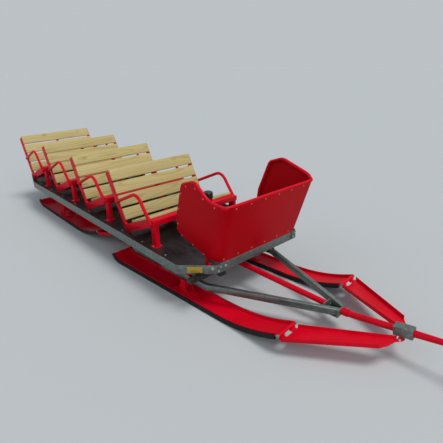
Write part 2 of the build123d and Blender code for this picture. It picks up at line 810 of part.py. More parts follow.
def drawbar_sleeve():
    """Square galvanised sleeve on the drawbar where the links meet it."""
    section = Rectangle(SLEEVE_SIZE, SLEEVE_SIZE) - Circle(BAR_RADIUS + FIT)
    return extrude(on_bar(SLEEVE_START) * section, amount=SLEEVE_LENGTH)


def tow_eye():
    """Forged eye on the drawbar's end, with an upright bore."""
    plane = on_bar(EYE_CENTRE)
    angle = radians(BAR_RISE)
    centre = plane.origin
    ring = Plane(origin=centre, x_dir=(cos(angle), 0, sin(angle)), z_dir=(-sin(angle), 0, cos(angle)))
    disc = ring * Cylinder(EYE_RADIUS, EYE_THICK)
    neck_length = (EYE_CENTRE - BAR_TAPER_END) / cos(angle)
    neck = extrude(on_bar(BAR_TAPER_END) * Circle(EYE_NECK_RADIUS), amount=neck_length)
    return disc + neck - ring * Cylinder(EYE_BORE_RADIUS, EYE_THICK * 2)


def shield_face(flare, front, right_bend, left_bend, z, inset):
    """Plan of the shield at one height: a front and two wings with rounded bends."""
    rear = SHIELD_REAR_X
    right = SHIELD_RIGHT - flare + inset
    left = SHIELD_LEFT + flare - inset
    face_x = front - inset
    right_radius = right_bend - inset
    left_radius = left_bend - inset
    turn = radians(45)
    edges = [
        Line((rear, right, z), (face_x - right_radius, right, z)),
        ThreePointArc(
            (face_x - right_radius, right, z),
            (face_x - right_radius * (1 - sin(turn)), right + right_radius * (1 - cos(turn)), z),
            (face_x, right + right_radius, z),
        ),
        Line((face_x, right + right_radius, z), (face_x, left - left_radius, z)),
        ThreePointArc(
            (face_x, left - left_radius, z),
            (face_x - left_radius * (1 - sin(turn)), left - left_radius * (1 - cos(turn)), z),
            (face_x - left_radius, left, z),
        ),
        Line((face_x - left_radius, left, z), (rear, left, z)),
        Line((rear, left, z), (rear, right, z)),
    ]
    return make_face(Wire(edges))


def shield():
    """Rolled sheet: lofted from foot to top, then trimmed to the wings' outline."""
    rise = SHIELD_TOP_Z - RIM_TOP
    top_x = SHIELD_FOOT_X + rise * tan(radians(SHIELD_LEAN))
    foot_args = (0, SHIELD_FOOT_X, SHIELD_RIGHT_BEND, SHIELD_LEFT_BEND, RIM_TOP)
    top_args = (SHIELD_FLARE, top_x, SHIELD_TOP_BEND, SHIELD_TOP_BEND, SHIELD_TOP_Z)
    outside = loft([shield_face(*foot_args, 0), shield_face(*top_args, 0)], ruled=True)
    inside = loft([shield_face(*foot_args, SHIELD_SHEET), shield_face(*top_args, SHIELD_SHEET)], ruled=True)
    open_back = block(
        SHIELD_REAR_X - SHIELD_SHEET,
        SHIELD_REAR_X + SHIELD_SHEET,
        SHIELD_RIGHT + SHIELD_SHEET,
        SHIELD_LEFT - SHIELD_SHEET,
        RIM_TOP,
        SHIELD_TOP_Z,
    )
    wall = outside - inside - open_back
    return wall & shield_trim()


def shield_trim():
    """Solid across the sled whose side outline is the wings' and front's edge."""
    y_low = SHIELD_RIGHT - SHIELD_FLARE * 2
    y_high = SHIELD_LEFT + SHIELD_FLARE * 2
    far_x = SHIELD_FOOT_X + SHIELD_TOP_Z
    points = [(x, y_low, z) for name, x, z, radius in WING_OUTLINE]
    radii = [radius for name, x, z, radius in WING_OUTLINE[1:]]
    points.append((far_x, y_low, SHIELD_FRONT_TOP_Z))
    edge = FilletPolyline(*points, radius=radii)
    close = Polyline(points[-1], (far_x, y_low, RIM_TOP), points[0])
    return extrude(make_face(edge.edges() + close.edges()), amount=y_high - y_low, dir=(0, 1, 0))


def shield_brackets():
    """Angle brackets that hold the wings' feet to the floor, on the inside of the sheet."""
    x_low = SHIELD_BRACKET_X - SHIELD_BRACKET_WIDTH / 2
    x_high = x_low + SHIELD_BRACKET_WIDTH
    pieces = []
    for side, wing in ((-1, SHIELD_RIGHT), (1, SHIELD_LEFT)):
        face = wing - side * (SHIELD_SHEET + FIT)
        back = face - side * SHIELD_BRACKET_THICK
        toe = face - side * SHIELD_BRACKET_FOOT
        top = RIM_TOP + SHIELD_BRACKET_RISE
        upright_plate = block(x_low, x_high, min(face, back), max(face, back), FLOOR_TOP, top)
        foot_top = FLOOR_TOP + SHIELD_BRACKET_THICK
        foot = block(x_low, x_high, min(face, toe), max(face, toe), FLOOR_TOP, foot_top)
        pieces.append(upright_plate + foot)
    return together(pieces)


def bench_x(number):
    """Front of a bench, counted from 1 at the front."""
    return -(number - 1) * BENCH_SPACING


def seat_point(front, back_run, above):
    """A point in the bench's side view, along the seat's slope and square to it."""
    angle = radians(SEAT_TILT)
    x = front - back_run * cos(angle) - above * sin(angle)
    z = BENCH_RAIL_TOP - back_run * sin(angle) + above * cos(angle)
    return (x, z)


def back_point(front, down, behind):
    """A point in the bench's side view, down the back's front face and behind it."""
    angle = radians(BACK_TILT)
    x = front + BACK_TOP_X + down * sin(angle) - behind * cos(angle)
    z = BACK_TOP_Z - down * cos(angle) - behind * sin(angle)
    return (x, z)


def seat_strip(front, run_start, run_end, above_low, above_high, y_low, y_high):
    """A straight bar along the seat's slope."""
    outline = [
        seat_point(front, run_start, above_low),
        seat_point(front, run_end, above_low),
        seat_point(front, run_end, above_high),
        seat_point(front, run_start, above_high),
    ]
    return side_plate(outline, y_low, y_high)


def back_strip(front, down_start, down_end, behind_low, behind_high, y_low, y_high):
    """A straight bar along the back's slope."""
    outline = [
        back_point(front, down_start, behind_low),
        back_point(front, down_end, behind_low),
        back_point(front, down_end, behind_high),
        back_point(front, down_start, behind_high),
    ]
    return side_plate(outline, y_low, y_high)


def seat_boards(number):
    """Boards across the seat."""
    front = bench_x(number)
    boards = []
    for index in range(SEAT_BOARD_COUNT):
        start = index * (SEAT_BOARD_WIDTH + SEAT_BOARD_GAP)
        boards.append(
            seat_strip(front, start, start + SEAT_BOARD_WIDTH, FIT, FIT + BOARD_THICK, -BOARD_HALF, BOARD_HALF)
        )
    return together(boards)


def back_boards(number):
    """Boards across the back."""
    front = bench_x(number)
    boards = []
    for index in range(BACK_BOARD_COUNT):
        start = index * (BACK_BOARD_WIDTH + BACK_BOARD_GAP)
        boards.append(back_strip(front, start, start + BACK_BOARD_WIDTH, 0, BOARD_THICK, -BOARD_HALF, BOARD_HALF))
    return together(boards)


def armrest(front, side):
    """Bent tube from the back's upright forward, then down to the front rail's end."""
    y = side * (BENCH_HALF + ARM_RADIUS - ARM_SINK)
    behind = BOARD_THICK + UPRIGHT_DEPTH / 2
    back_x, back_z = back_point(front, ARM_BACK_DROP, behind)
    slope = tan(radians(ARM_SLOPE))
    lean = tan(radians(ARM_LEAN))
    foot_x = front + BENCH_RAIL_WIDTH / 2
    foot_z = BENCH_RAIL_TOP - BENCH_RAIL_HEIGHT
    # The two straight stretches meet at the corner that the bend rounds off
    corner_x = (foot_x - lean * (back_z - slope * back_x - foot_z)) / (1 + lean * slope)
    corner_z = back_z + slope * (corner_x - back_x)
    path = FilletPolyline((back_x, y, back_z), (corner_x, y, corner_z), (foot_x, y, foot_z), radius=ARM_BEND)
    start = Plane(origin=(back_x, y, back_z), z_dir=(corner_x - back_x, 0, corner_z - back_z))
    return sweep(start * Circle(ARM_RADIUS), path=path)


def upright(front, y_low, y_high, to_floor):
    """A bar behind the back boards; those at the ends run on to the floor as rear legs."""
    behind = BOARD_THICK
    far = BOARD_THICK + UPRIGHT_DEPTH
    if not to_floor:
        # The middle one ends halfway down the rear end of the seat's middle rail
        rail_z = seat_point(front, SEAT_RUN, -SEAT_RAIL_HEIGHT / 2)[1]
        start_z = back_point(front, 0, (behind + far) / 2)[1]
        end = (start_z - rail_z) / cos(radians(BACK_TILT))
        return back_strip(front, UPRIGHT_DROP, end, behind, far, y_low, y_high)
    near_top = back_point(front, UPRIGHT_DROP, behind)
    far_top = back_point(front, UPRIGHT_DROP, far)
    slope = tan(radians(BACK_TILT))
    outline = [
        near_top,
        (near_top[0] + (near_top[1] - FLOOR_TOP) * slope, FLOOR_TOP),
        (far_top[0] + (far_top[1] - FLOOR_TOP) * slope, FLOOR_TOP),
        far_top,
    ]
    return side_plate(outline, y_low, y_high)


def bench_frame(number):
    """Welded frame: front rail and legs, seat rails, rear legs, uprights and armrests."""
    front = bench_x(number)
    rail_base = BENCH_RAIL_TOP - BENCH_RAIL_HEIGHT
    pieces = [block(front, front + BENCH_RAIL_WIDTH, -BENCH_HALF, BENCH_HALF, rail_base, BENCH_RAIL_TOP)]
    for side in (-1, 1):
        outer = side * (BENCH_HALF - BENCH_LEG_INSET)
        low = min(outer, outer - side * BENCH_LEG_THICK)
        pieces.append(block(front, front + BENCH_LEG_WIDTH, low, low + BENCH_LEG_THICK, FLOOR_TOP, rail_base))
        foot_low = low + BENCH_LEG_THICK / 2 - BENCH_FOOT_SIZE / 2
        foot_front = front + BENCH_LEG_WIDTH / 2 - BENCH_FOOT_SIZE / 2
        pieces.append(
            block(
                foot_front,
                foot_front + BENCH_FOOT_SIZE,
                foot_low,
                foot_low + BENCH_FOOT_SIZE,
                FLOOR_TOP,
                FLOOR_TOP + BENCH_FOOT_PLATE,
            )
        )
        pieces.append(armrest(front, side))
    for place in (-1, 0, 1):
        middle = place * (BENCH_HALF - SEAT_RAIL_THICK / 2)
        low = middle - SEAT_RAIL_THICK / 2
        high = low + SEAT_RAIL_THICK
        pieces.append(seat_strip(front, 0, SEAT_RUN, -SEAT_RAIL_HEIGHT, 0, low, high))
        pieces.append(upright(front, low, high, place != 0))
    cross_end = REAR_CROSS_RUN + REAR_CROSS_SIZE
    cross_base = -SEAT_RAIL_HEIGHT
    cross_top = cross_base + REAR_CROSS_SIZE
    pieces.append(
        seat_strip(front, REAR_CROSS_RUN, cross_end, cross_base, cross_top, -BENCH_HALF, BENCH_HALF)
    )
    return joined(pieces)


def capped_post():
    """Round post standing on the deck."""
    height = POST_TOP - FLOOR_TOP
    return Pos(POST_X, POST_Y, FLOOR_TOP + height / 2) * Cylinder(POST_RADIUS, height)


def post_cap():
    """Domed black cap on the post."""
    disc = Pos(POST_X, POST_Y, POST_TOP + CAP_HEIGHT / 2) * Cylinder(CAP_RADIUS, CAP_HEIGHT)
    edge = disc.edges().group_by(Axis.Z)[-1]
    return fillet(edge, CAP_HEIGHT * 0.6)


parts = {
    "deck_front_beam": front_beam(),
    "deck_corner_beam": corner_beam(),
    "deck_rail_right": right_rail(),
    "deck_rail_left": left_rail(),
    "deck_rear_beam": rear_beam(),
    "deck_taper_beams": taper_beams(),
    "deck_floor": deck_floor(),
    "splice_plates": splice_plates(),
    "reflector": reflector(),
    "sills": together([sill(side) for side in (-1, 1)]),
    "cross_tubes": cross_tubes(),
    "turntable_plate": turntable_plate(),
    "turntable_upper": turntable_upper(),
    "rear_bolster": rear_bolster(),
    "rear_side_beams": together([rear_side_beam(side) for side in (-1, 1)]),
    "rear_anchor": rear_anchor(),
    "rear_yoke": rear_yoke(),
    "rear_soles": together([sole(REAR_HINGE_X, side, REAR_SKI_LENGTH) for side in (-1, 1)]),
    "rear_saddles": together([saddle(REAR_BOLSTER_X, side) for side in (-1, 1)]),
    "rear_foot_blocks": together([saddle_block(REAR_BOLSTER_X, side) for side in (-1, 1)]),
    "rear_hinge_pins": together([hinge_pin(REAR_HINGE_X, side) for side in (-1, 1)]),
    "front_shield": shield(),
    "shield_brackets": shield_brackets(),
    "capped_post": capped_post(),
    "post_cap": post_cap(),
}
for side, word in ((-1, "right"), (1, "left")):
    parts["rear_ski_" + word] = ski(REAR_HINGE_X, side, REAR_SKI_LENGTH)
    parts["rear_link_" + word] = link(REAR_HINGE_X, side)
for number in range(1, BENCH_COUNT + 1):
    parts[f"bench_{number}_frame"] = bench_frame(number)
    parts[f"bench_{number}_seat_boards"] = seat_boards(number)
    parts[f"bench_{number}_back_boards"] = back_boards(number)

front_bogie = {
    "front_bolster": front_bolster(),
    "turntable_lower": turntable_lower(),
    "a_frame_beams": together([a_frame(side) for side in (-1, 1)]),
    "apex_plates": apex_plates(),
    "drawbar_strut": drawbar_strut(),
    "drawbar": drawbar(),
    "drawbar_sleeve": drawbar_sleeve(),
    "tow_eye": tow_eye(),
    "front_yoke": front_yoke(),
    "front_soles": together([sole(FRONT_HINGE_X, side, FRONT_SKI_LENGTH) for side in (-1, 1)]),
    "front_saddles": together([saddle(KING_X, side) for side in (-1, 1)]),
    "front_foot_blocks": together([saddle_block(KING_X, side) for side in (-1, 1)]),
    "front_hinge_pins": together([hinge_pin(FRONT_HINGE_X, side) for side in (-1, 1)]),
}
for side, word in ((-1, "right"), (1, "left")):
    front_bogie["front_ski_" + word] = ski(FRONT_HINGE_X, side, FRONT_SKI_LENGTH)
    front_bogie["front_link_" + word] = link(FRONT_HINGE_X, side)
for name, piece in front_bogie.items():
    parts[name] = steered(piece)

# Move everything so that the origin is at the middle of the base
boxes = [piece.bounding_box() for piece in parts.values()]
shift_x = -(min(box.min.X for box in boxes) + max(box.max.X for box in boxes)) / 2
shift_y = -(min(box.min.Y for box in boxes) + max(box.max.Y for box in boxes)) / 2
print("shift", round(shift_x, 3), round(shift_y, 3))
print("king pin", round(KING_X + shift_x, 3), round(shift_y, 3))

os.makedirs("parts", exist_ok=True)
for name, piece in parts.items():
    export_step(Pos(shift_x, shift_y, 0) * piece, f"parts/{name}.step")
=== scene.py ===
import json
import math

import bmesh
import bpy
from mathutils import Matrix, Vector


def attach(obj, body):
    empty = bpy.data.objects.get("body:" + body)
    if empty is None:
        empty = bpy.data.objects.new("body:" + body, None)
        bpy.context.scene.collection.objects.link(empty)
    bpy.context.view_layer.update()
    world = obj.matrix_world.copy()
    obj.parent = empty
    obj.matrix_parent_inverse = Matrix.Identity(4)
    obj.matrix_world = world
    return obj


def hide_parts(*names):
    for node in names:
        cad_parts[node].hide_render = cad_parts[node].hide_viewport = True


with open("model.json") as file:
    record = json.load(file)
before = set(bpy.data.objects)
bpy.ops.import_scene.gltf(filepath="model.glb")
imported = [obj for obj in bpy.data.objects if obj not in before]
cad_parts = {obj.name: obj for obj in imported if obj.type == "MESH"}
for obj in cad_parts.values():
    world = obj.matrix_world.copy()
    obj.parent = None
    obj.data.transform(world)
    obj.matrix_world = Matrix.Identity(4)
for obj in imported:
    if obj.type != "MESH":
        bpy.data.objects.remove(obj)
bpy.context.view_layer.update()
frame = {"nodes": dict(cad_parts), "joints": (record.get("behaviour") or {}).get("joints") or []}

# Studio floor, lamps and camera
# A plain pale floor that runs out into a background of its own tone, soft even light from above and from
# both sides, and the photograph's viewpoint, found from the sled's own straight lines.
king_pin = Vector(frame["joints"][0]["pos_m"])
# Front of the first bench's legs on the sled's centreline, from which the sled's lengths are measured
king_pin_from_bench = 0.310
bench_front = Vector((king_pin.x - king_pin_from_bench, king_pin.y, 0))


def from_bench(x, y, z):
    """A point on the sled, from millimetres forward of the first bench, to the left and up."""
    return bench_front + Vector((x, y, z)) / 1000


pale_grey = (0.50, 0.535, 0.56, 1)
floor_size = 120.0
bm = bmesh.new()
bmesh.ops.create_grid(bm, x_segments=1, y_segments=1, size=floor_size / 2)
floor_mesh = bpy.data.meshes.new("studio_floor")
bm.to_mesh(floor_mesh)
bm.free()
floor = bpy.data.objects.new("studio_floor", floor_mesh)
bpy.context.collection.objects.link(floor)

floor_material = bpy.data.materials.new("pale_floor")
floor_material.use_nodes = True
floor_shader = floor_material.node_tree.nodes["Principled BSDF"]
floor_shader.inputs["Base Color"].default_value = (0.518, 0.547, 0.562, 1)
floor_shader.inputs["Roughness"].default_value = 0.9
floor_shader.inputs["Specular IOR Level"].default_value = 0.1
floor_mesh.materials.append(floor_material)

world = bpy.data.worlds.new("soft_room")
bpy.context.scene.world = world
world.use_nodes = True
room_nodes = world.node_tree.nodes
room_links = world.node_tree.links
room_light = room_nodes["Background"]
room_light.inputs["Color"].default_value = (0.86, 0.93, 1.0, 1)
room_light.inputs["Strength"].default_value = 0.34
backdrop = room_nodes.new("ShaderNodeBackground")
backdrop.inputs["Color"].default_value = pale_grey
ray = room_nodes.new("ShaderNodeLightPath")
seen_or_mirrored = room_nodes.new("ShaderNodeMath")
seen_or_mirrored.operation = "MAXIMUM"
seen = room_nodes.new("ShaderNodeMath")
seen.operation = "MAXIMUM"
room_links.new(ray.outputs["Is Camera Ray"], seen_or_mirrored.inputs[0])
room_links.new(ray.outputs["Is Glossy Ray"], seen_or_mirrored.inputs[1])
room_links.new(seen_or_mirrored.outputs["Value"], seen.inputs[0])
room_links.new(ray.outputs["Is Transmission Ray"], seen.inputs[1])
room_mix = room_nodes.new("ShaderNodeMixShader")
room_links.new(seen.outputs["Value"], room_mix.inputs["Fac"])
room_links.new(room_light.outputs["Background"], room_mix.inputs[1])
room_links.new(backdrop.outputs["Background"], room_mix.inputs[2])
room_links.new(room_mix.outputs["Shader"], room_nodes["World Output"].inputs["Surface"])

# name, direction that the light comes from, strength, spread in degrees, colour
lamps = [
    ("roof_light", (0.35, 0.20, 1.0), 1.68, 24.0, (1.0, 0.98, 0.95)),
    ("door_light", (1.0, -0.25, 0.60), 0.75, 40.0, (0.96, 0.98, 1.0)),
    ("side_light", (-0.3, -1.0, 0.5), 0.42, 60.0, (0.94, 0.97, 1.0)),
]
lamp_distance = 5.0
for name, direction, strength, spread, colour in lamps:
    light = bpy.data.lights.new(name, "SUN")
    light.energy = strength
    light.angle = math.radians(spread)
    light.color = colour
    lamp = bpy.data.objects.new(name, light)
    lamp.location = bench_front + Vector(direction) * lamp_distance
    lamp.rotation_euler = Vector(direction).to_track_quat("Z", "Y").to_euler()
    bpy.context.collection.objects.link(lamp)

# Camera's place from the first bench, in metres, and its turn, pitch and roll
camera_place = Vector((2.3445, -1.8171, 1.5662))
camera_turn = math.radians(138.0095)
camera_pitch = math.radians(-22.440)
camera_roll = math.radians(-0.970)
camera_lens = 32.136
forward = Vector(
    (
        math.cos(camera_pitch) * math.cos(camera_turn),
        math.cos(camera_pitch) * math.sin(camera_turn),
        math.sin(camera_pitch),
    )
)
level = Vector((math.sin(camera_turn), -math.cos(camera_turn), 0))
upward = level.cross(forward)
across = level * math.cos(camera_roll) + upward * math.sin(camera_roll)
up = upward * math.cos(camera_roll) - level * math.sin(camera_roll)
camera = bpy.data.objects.new("camera", bpy.data.cameras.new("camera"))
camera.data.lens = camera_lens
camera.data.sensor_width = 36
camera.location = bench_front + camera_place
camera.rotation_euler = Matrix((across, up, -forward)).transposed().to_euler()
bpy.context.collection.objects.link(camera)
bpy.context.scene.camera = camera
bpy.context.scene.view_settings.view_transform = "Standard"


# Deck rim of galvanised angle, with its splice plates, and the chassis tubes
# Hot-dip galvanised steel, welded, bolted at the ends of the front beam, with the dull spangle of zinc.
def new_material(name, roughness, metallic=0.0, coat=0.0):
    """A material, its shader and the object coordinates that its patterns start from."""
    material = bpy.data.materials.new(name)
    material.use_nodes = True
    shader = material.node_tree.nodes["Principled BSDF"]
    shader.inputs["Roughness"].default_value = roughness
    shader.inputs["Metallic"].default_value = metallic
    shader.inputs["Coat Weight"].default_value = coat
    shader.inputs["Coat Roughness"].default_value = 0.06
    place = material.node_tree.nodes.new("ShaderNodeTexCoord")
    return material, shader, place.outputs["Object"]


def stretched(material, place, scale):
    """The pattern's coordinates, scaled along each axis."""
    mapping = material.node_tree.nodes.new("ShaderNodeMapping")
    mapping.inputs["Scale"].default_value = scale
    material.node_tree.links.new(place, mapping.inputs["Vector"])
    return mapping.outputs["Vector"]


def noise(material, place, scale, detail=4.0, roughness=0.55):
    """Cloudy noise at a scale in cells per metre."""
    node = material.node_tree.nodes.new("ShaderNodeTexNoise")
    node.inputs["Scale"].default_value = scale
    node.inputs["Detail"].default_value = detail
    node.inputs["Roughness"].default_value = roughness
    material.node_tree.links.new(place, node.inputs["Vector"])
    return node.outputs["Fac"]


def ramp(material, value, stops):
    """Colours laid out along a value: pairs of position and colour."""
    node = material.node_tree.nodes.new("ShaderNodeValToRGB")
    points = node.color_ramp.elements
    while len(points) < len(stops):
        points.new(0.5)
    for point, (position, colour) in zip(points, stops):
        point.position = position
        point.color = (*colour, 1)
    material.node_tree.links.new(value, node.inputs["Fac"])
    return node.outputs["Color"]


def fitted(material, value, low, high, to_low, to_high):
    """A value stretched from one range to another."""
    node = material.node_tree.nodes.new("ShaderNodeMapRange")
    node.inputs["From Min"].default_value = low
    node.inputs["From Max"].default_value = high
    node.inputs["To Min"].default_value = to_low
    node.inputs["To Max"].default_value = to_high
    material.node_tree.links.new(value, node.inputs["Value"])
    return node.outputs["Result"]


def mixed(material, share, first, second, blend="MIX"):
    """Two colours mixed by a share."""
    node = material.node_tree.nodes.new("ShaderNodeMix")
    node.data_type = "RGBA"
    node.blend_type = blend
    for socket, value in (("Factor", share), (6, first), (7, second)):
        target = node.inputs[socket]
        if isinstance(value, bpy.types.NodeSocket):
            material.node_tree.links.new(value, target)
        elif isinstance(value, tuple):
            target.default_value = (*value, 1)
        else:
            target.default_value = value
    return node.outputs[2]


def bumped(material, shader, height, strength, distance):
    """A fine relief from a height pattern."""
    node = material.node_tree.nodes.new("ShaderNodeBump")
    node.inputs["Strength"].default_value = strength
    node.inputs["Distance"].default_value = distance
    material.node_tree.links.new(height, node.inputs["Height"])
    material.node_tree.links.new(node.outputs["Normal"], shader.inputs["Normal"])


def feed(material, value, shader, socket):
    """Link a pattern to one of the shader's sockets."""
    material.node_tree.links.new(value, shader.inputs[socket])


def zinc_material(name, scale, dark, pale):
    """Hot-dip zinc: angular spangle of two greys, dulled by cloudy patches."""
    cloud_scale = 9.0
    grain_scale = 160.0
    dulled_share = 0.75
    material, shader, place = new_material(name, 0.42, metallic=0.85)
    spangle = material.node_tree.nodes.new("ShaderNodeTexVoronoi")
    spangle.inputs["Scale"].default_value = scale
    spangle.inputs["Randomness"].default_value = 1.0
    material.node_tree.links.new(place, spangle.inputs["Vector"])
    flakes = ramp(material, spangle.outputs["Color"], [(0.15, dark), (0.85, pale)])
    clouds = noise(material, place, cloud_scale, detail=6.0)
    dulled = ramp(material, clouds, [(0.35, (0.72, 0.75, 0.74)), (0.70, (1.0, 1.0, 1.0))])
    feed(material, mixed(material, dulled_share, flakes, dulled, "MULTIPLY"), shader, "Base Color")
    feed(material, fitted(material, clouds, 0.3, 0.7, 0.34, 0.58), shader, "Roughness")
    bumped(material, shader, noise(material, place, grain_scale), 0.10, 0.0006)
    return material


def coat_nodes(material, *nodes):
    """Give CAD nodes a material."""
    for node in nodes:
        slots = frame["nodes"][node].data.materials
        slots.clear()
        slots.append(material)


shade_angle = math.radians(38)
flat_angle = math.radians(1)
same_point = 0.00001
same_corner = 0.00002


def finished(name, bm, material, body, slot, *replaced):
    """A new piece from a bmesh: normals outwards, soft shading, its material and body; the slot is not
    used.
    """
    bmesh.ops.remove_doubles(bm, verts=bm.verts, dist=same_point)
    bmesh.ops.recalc_face_normals(bm, faces=bm.faces)
    mesh = bpy.data.meshes.new(name)
    bm.to_mesh(mesh)
    bm.free()
    mesh.shade_smooth()
    mesh.set_sharp_from_angle(angle=shade_angle)
    mesh.materials.append(material)
    piece = bpy.data.objects.new(name, mesh)
    bpy.context.collection.objects.link(piece)
    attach(piece, body)
    if replaced:
        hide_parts(*replaced)
    return piece


def eased(bm, edges, size, segments=2):
    """Round edges over, to a size in metres."""
    bmesh.ops.bevel(
        bm,
        geom=edges,
        offset=size,
        offset_type="OFFSET",
        segments=segments,
        profile=0.5,
        affect="EDGES",
        material=-1,
        clamp_overlap=True,
    )


def rounded(node, edge, material, body, slot, segments=2):
    """A node's own shape with its sharp edges rounded, standing for the node."""
    bm = bmesh.new()
    bm.from_mesh(frame["nodes"][node].data)
    bmesh.ops.remove_doubles(bm, verts=bm.verts, dist=same_corner)
    bmesh.ops.dissolve_limit(bm, angle_limit=flat_angle, verts=bm.verts, edges=bm.edges)
    sharp = [e for e in bm.edges if e.is_manifold and e.calc_face_angle() > shade_angle]
    eased(bm, sharp, edge, segments)
    return finished(node + "_rounded", bm, material, body, slot, node)


def hex_head(bm, seat, axis, size=8.0, turn=0.0):
    """A hexagon bolt head with its washer, standing on a seat; the size is the thread's in millimetres."""
    washer_foot_radius = size * 1.05 / 1000
    washer_top_radius = size / 1000
    washer_thick = 0.0016
    washer_lift = 0.0006
    head_foot = 0.0014
    head_height = size * 0.62 / 1000
    head_radius = size * 0.94 / 1000
    head_edge = size * 0.09 / 1000
    place = Matrix.Translation(seat) @ axis.to_track_quat("Z", "Y").to_matrix().to_4x4()
    bmesh.ops.create_cone(
        bm,
        cap_ends=True,
        segments=24,
        radius1=washer_foot_radius,
        radius2=washer_top_radius,
        depth=washer_thick,
        matrix=place @ Matrix.Translation((0, 0, washer_lift)),
    )
    lift = Matrix.Translation((0, 0, head_foot + head_height / 2))
    head = bmesh.ops.create_cone(
        bm,
        cap_ends=True,
        segments=6,
        radius1=head_radius,
        radius2=head_radius,
        depth=head_height,
        matrix=place @ Matrix.Rotation(turn, 4, "Z") @ lift,
    )
    edges = {e for v in head["verts"] for e in v.link_edges}
    eased(bm, list(edges), head_edge)


def domed_head(bm, seat, axis, radius, height):
    """A domed rivet or carriage bolt head, half sunk into its seat."""
    place = Matrix.Translation(seat) @ axis.to_track_quat("Z", "Y").to_matrix().to_4x4()
    bmesh.ops.create_uvsphere(
        bm,
        u_segments=16,
        v_segments=8,
        radius=1.0,
        matrix=place @ Matrix.Diagonal((radius / 1000, radius / 1000, height / 1000, 1)),
    )


spangle_scale = 75.0
zinc = zinc_material("galvanised_zinc", spangle_scale, (0.155, 0.180, 0.170), (0.235, 0.268, 0.252))
rim_edge = 0.0012
plate_edge = 0.0008
for node in (
    "deck_front_beam",
    "deck_corner_beam",
    "deck_rail_right",
    "deck_rail_left",
    "deck_rear_beam",
    "deck_taper_beams",
):
    rounded(node, rim_edge, zinc, "sled", "galvanised")
rounded("splice_plates", plate_edge, zinc, "sled", "galvanised")
# The sills and cross tubes take a near-black zinc: painted shade standing for the dark space under the
# deck.
under_deck_shade_zinc = zinc_material("under_deck_shade_zinc", spangle_scale, (0.035, 0.037, 0.037), (0.070, 0.074, 0.072))
coat_nodes(under_deck_shade_zinc, "sills", "cross_tubes")

plating_scale = 220.0
bright_zinc = zinc_material("plated_bolts", plating_scale, (0.46, 0.48, 0.47), (0.66, 0.68, 0.67))
plate_face = 639.0
plate_middles = (-305.0, 471.0)
# Each plate's two bolts: place aside of the plate's middle, height
plate_bolts = ((-10.0, 276.0), (10.0, 301.0))
plate_bolt_size = 8.0
beam_bolt_place = (635.0, -248.0, 292.0)
corner_bolt_place = (617.0, -346.0, 297.0)
beam_bolt_size = 10.0
forward_axis = Vector((1, 0, 0))
corner_axis = Vector((1, -1, 0)).normalized()
bm = bmesh.new()
for plate_y in plate_middles:
    for aside, bolt_z in plate_bolts:
        bolt_y = plate_y + aside
        hex_head(bm, from_bench(plate_face, bolt_y, bolt_z), forward_axis, plate_bolt_size, bolt_y)
hex_head(bm, from_bench(*beam_bolt_place), forward_axis, beam_bolt_size)
hex_head(bm, from_bench(*corner_bolt_place), corner_axis, beam_bolt_size)
finished("splice_bolts", bm, bright_zinc, "sled", "bare_steel")

# Dark plywood floor inside the rim
# Film-faced birch plywood with the fine wire mesh pressed into its brown film, scuffed by boots and
# screwed down along the rim.
film, film_shader, film_place = new_material("filmed_plywood", 0.38)
film_scuffs = noise(film, stretched(film, film_place, (3.0, 9.0, 3.0)), 4.0, detail=8.0)
film_colour = ramp(
    film,
    film_scuffs,
    [(0.30, (0.015, 0.011, 0.013)), (0.62, (0.024, 0.018, 0.021)), (0.80, (0.050, 0.042, 0.044))],
)
feed(film, film_colour, film_shader, "Base Color")
feed(film, fitted(film, film_scuffs, 0.3, 0.75, 0.28, 0.55), film_shader, "Roughness")
mesh_print = film.node_tree.nodes.new("ShaderNodeTexVoronoi")
mesh_print.inputs["Scale"].default_value = 190.0
mesh_print.inputs["Randomness"].default_value = 0.0
film.node_tree.links.new(film_place, mesh_print.inputs["Vector"])
bumped(film, film_shader, mesh_print.outputs["Distance"], 0.35, 0.0008)
coat_nodes(film, "deck_floor")

floor_top = 271.0
floor_screw_rows = 9
first_floor_screw_x = 194.0
floor_screw_pitch = 308.0
floor_screw_y = 427.0
floor_screw_radius = 7.0
floor_screw_height = 2.2
up_axis = Vector((0, 0, 1))
bm = bmesh.new()
for row in range(floor_screw_rows):
    for side in (-1, 1):
        screw_x = first_floor_screw_x - row * floor_screw_pitch
        place = from_bench(screw_x, side * floor_screw_y, floor_top)
        domed_head(bm, place, up_axis, floor_screw_radius, floor_screw_height)
finished("floor_screws", bm, bright_zinc, "sled", "bare_steel")


# Front shield of rolled sheet, riveted to a bent tube that runs round behind its whole edge
# Steel sheet and tube sprayed in one deep gloss red, with a slight orange peel and a little dust.
def red_paint(name, deep, bright, gloss, scale=7.0):
    """Gloss red with cloudy depth, orange peel and a thin film of dust."""
    material, shader, place = new_material(name, 0.40)
    shader.inputs["Specular IOR Level"].default_value = gloss
    clouds = noise(material, place, scale, detail=5.0)
    feed(material, ramp(material, clouds, [(0.32, deep), (0.70, bright)]), shader, "Base Color")
    dust = noise(material, place, scale * 2, detail=4.0)
    feed(material, fitted(material, dust, 0.35, 0.75, 0.34, 0.46), shader, "Roughness")
    bumped(material, shader, noise(material, place, 420.0, detail=2.0), 0.05, 0.0004)
    return material


# The shield sheet's red is a darker copy of the frame red: painted shade for its upright faces, which
# carry the same paint as the tube.
shade_darkened_shield_red = red_paint("shade_darkened_shield_red", (0.44, 0.001, 0.005), (0.50, 0.002, 0.008), 0.05, 4.0)
frame_red = red_paint("frame_red", (0.58, 0.001, 0.012), (0.68, 0.002, 0.019), 0.10)
